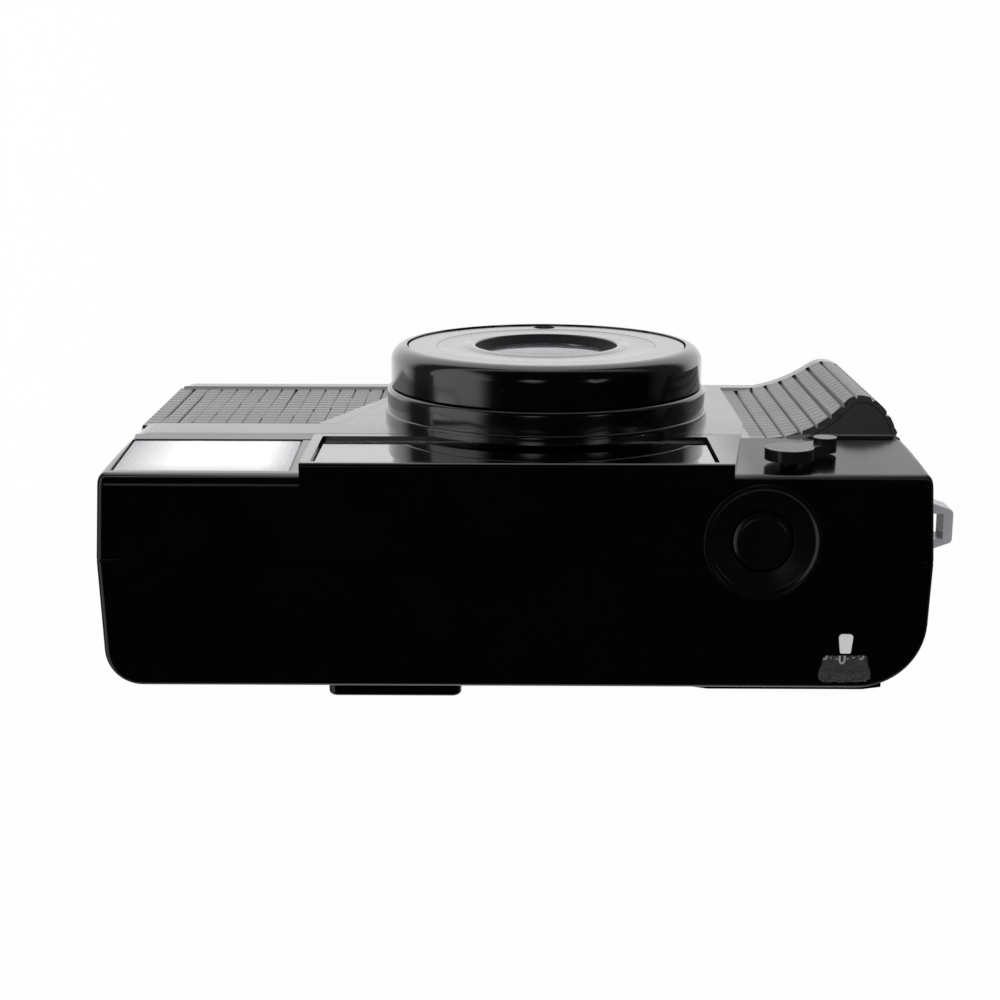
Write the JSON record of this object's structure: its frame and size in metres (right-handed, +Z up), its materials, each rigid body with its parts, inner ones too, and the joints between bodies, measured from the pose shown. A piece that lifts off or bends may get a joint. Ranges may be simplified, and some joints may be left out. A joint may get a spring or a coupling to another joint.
{
  "type": "film camera",
  "caption": "Compact 35 mm film camera with a fixed autofocus lens, motor wind, built-in flash, hinged back and a ribbed hand grip.",
  "frame": {"origin": "centre of the tripod socket's mouth, in the plane of the base under the grip side", "axes": "+X towards the flash side, +Y from the lens towards the back, +Z up with the camera standing on its base"},
  "size_m": [0.136, 0.0518, 0.0741],
  "materials": {
    "body_black": "satin moulded black",
    "panel_black": "ribbed matte black",
    "lens_black": "satin black with turned steps",
    "inner_black": "matte black moulding",
    "gear_plastic": "natural gear plastic",
    "steel": "plain",
    "lug_grey": "grey plated",
    "brass": "turned",
    "button_black": "polished black",
    "window_clear": "tinted clear",
    "lens_glass": "coated",
    "flash_white": "frosted ribbed white",
    "mark_white": "white inlay",
    "dial_black": "black dial with white numbers",
    "reflector": "bright reflector",
    "cell_wrap": "plain wrap",
    "board_green": "coated board",
    "motor_metal": "plain can",
    "plate_black": "black lacquer"
  },
  "bodies": {
    "camera": {"top_cover": "body_black", "front_cover": "body_black", "base_cover": "body_black", "left_ribbed_panel": "panel_black", "right_ribbed_panel": "panel_black", "tripod_bush": "brass", "base_screws": "steel", "battery_holder": "inner_black", "battery_cells": "cell_wrap", "battery_contacts": "steel", "door_hinge_pin": "steel", "chassis": "inner_black", "light_box": "inner_black", "film_gate": "steel", "wind_motor": "motor_metal", "base_ring": "lens_black", "lens_face": "lens_black", "sensor_window": "window_clear", "shutter_housing": "inner_black", "rear_element": "lens_glass", "af_module": "inner_black", "af_lenses": "window_clear", "window_mask": "inner_black", "window_strip": "window_clear", "finder_housing": "inner_black", "finder_front_lens": "window_clear", "eyepiece_frame": "body_black", "eyepiece_lens": "window_clear", "circuit_board": "board_green", "board_parts": "inner_black", "button_ring": "button_black", "counter_window": "window_clear", "index_mark": "mark_white", "flash_window": "flash_white", "flash_reflector": "reflector", "flash_tube": "window_clear", "flash_capacitor": "button_black", "strap_lug": "lug_grey"},
    "back": {"back_door": "body_black", "pressure_spring": "steel"},
    "film_plate": {"pressure_plate": "plate_black"},
    "latch": {"door_latch": "body_black"},
    "cell_cover": {"battery_cover": "body_black"},
    "spool": {"take_up_spool": "gear_plastic", "spool_gear": "gear_plastic"},
    "film_sprocket": {"sprocket": "gear_plastic", "sprocket_gear": "gear_plastic"},
    "idler": {"idler_gear": "gear_plastic"},
    "pinion": {"motor_pinion": "brass"},
    "fork": {"rewind_fork": "gear_plastic", "rewind_gear": "gear_plastic"},
    "speed_ring": {"film_speed_ring": "lens_black"},
    "front_cell": {"focus_cell": "lens_black", "front_element": "lens_glass"},
    "blade_1": {"shutter_blade_1": "plate_black"},
    "blade_2": {"shutter_blade_2": "plate_black"},
    "button": {"release_button": "button_black"},
    "counter": {"counter_disc": "dial_black"},
    "timer": {"timer_lever": "body_black"},
    "rewind_key": {"rewind_button": "button_black"}
  },
  "joints": [
    {"name": "back_hinge", "type": "hinge", "parent": "camera", "child": "back", "pos_m": [-0.0223, 0.009, 0.03], "axis": [0, 0, 1], "range_deg": [0, 110]},
    {"name": "film_plate_press", "type": "slide", "parent": "back", "child": "film_plate", "axis": [0, 1, 0], "range_m": [0, 0.0009], "stiffness_N_per_m": 300, "deforming": ["pressure_spring"]},
    {"name": "latch_slide", "type": "slide", "parent": "camera", "child": "latch", "axis": [0, 0, 1], "range_m": [0, 0.003], "stiffness_N_per_m": 200},
    {"name": "cell_cover_slide", "type": "slide", "parent": "camera", "child": "cell_cover", "axis": [0, -1, 0], "range_m": [0, 0.03]},
    {"name": "spool_turn", "type": "hinge", "parent": "camera", "child": "spool", "pos_m": [-0.0055, 0.0048, 0.03], "axis": [0, 0, 1], "continuous": true},
    {"name": "sprocket_turn", "type": "hinge", "parent": "camera", "child": "film_sprocket", "pos_m": [0.01136, 0.00695, 0.03], "axis": [0, 0, 1], "continuous": true},
    {"name": "idler_turn", "type": "hinge", "parent": "camera", "child": "idler", "pos_m": [0.00334, -0.00404, 0.059], "axis": [0, 0, 1], "continuous": true},
    {"name": "pinion_turn", "type": "hinge", "parent": "camera", "child": "pinion", "pos_m": [-0.0055, 0.0048, 0.06], "axis": [0, 0, 1], "continuous": true},
    {"name": "fork_turn", "type": "hinge", "parent": "camera", "child": "fork", "pos_m": [0.0795, 0.0045, 0.057], "axis": [0, 0, 1], "continuous": true},
    {"name": "speed_ring_turn", "type": "hinge", "parent": "camera", "child": "speed_ring", "pos_m": [0.0385, -0.028, 0.0315], "axis": [0, -1, 0], "range_deg": [-75, 75]},
    {"name": "focus_slide", "type": "slide", "parent": "camera", "child": "front_cell", "axis": [0, -1, 0], "range_m": [0, 0.0012], "stiffness_N_per_m": 60},
    {"name": "blade_1_swing", "type": "hinge", "parent": "camera", "child": "blade_1", "pos_m": [0.0465, -0.01375, 0.0315], "axis": [0, 1, 0], "range_deg": [0, 55], "stiffness_Nm_per_rad": 0.00002},
    {"name": "blade_2_swing", "type": "hinge", "parent": "camera", "child": "blade_2", "pos_m": [0.0305, -0.01325, 0.0315], "axis": [0, 1, 0], "range_deg": [0, 55]},
    {"name": "release_press", "type": "slide", "parent": "camera", "child": "button", "axis": [0, 0, -1], "range_m": [0, 0.0012], "stiffness_N_per_m": 400},
    {"name": "counter_turn", "type": "hinge", "parent": "camera", "child": "counter", "pos_m": [-0.0086, 0.008, 0.0707], "axis": [0, 0, 1], "range_deg": [0, 300]},
    {"name": "timer_swing", "type": "hinge", "parent": "camera", "child": "timer", "pos_m": [0.0004, -0.0185, 0.0666], "axis": [0, -1, 0], "range_deg": [0, 80]},
    {"name": "rewind_press", "type": "slide", "parent": "camera", "child": "rewind_key", "axis": [0, 0, 1], "range_m": [0, 0.0008], "stiffness_N_per_m": 300}
  ],
  "couplings": [
    {"joint": "sprocket_turn", "follows": "spool_turn", "ratio": -1.125},
    {"joint": "idler_turn", "follows": "spool_turn", "ratio": -2.5714},
    {"joint": "pinion_turn", "follows": "spool_turn", "ratio": 8.1429},
    {"joint": "blade_2_swing", "follows": "blade_1_swing", "ratio": 1}
  ]
}
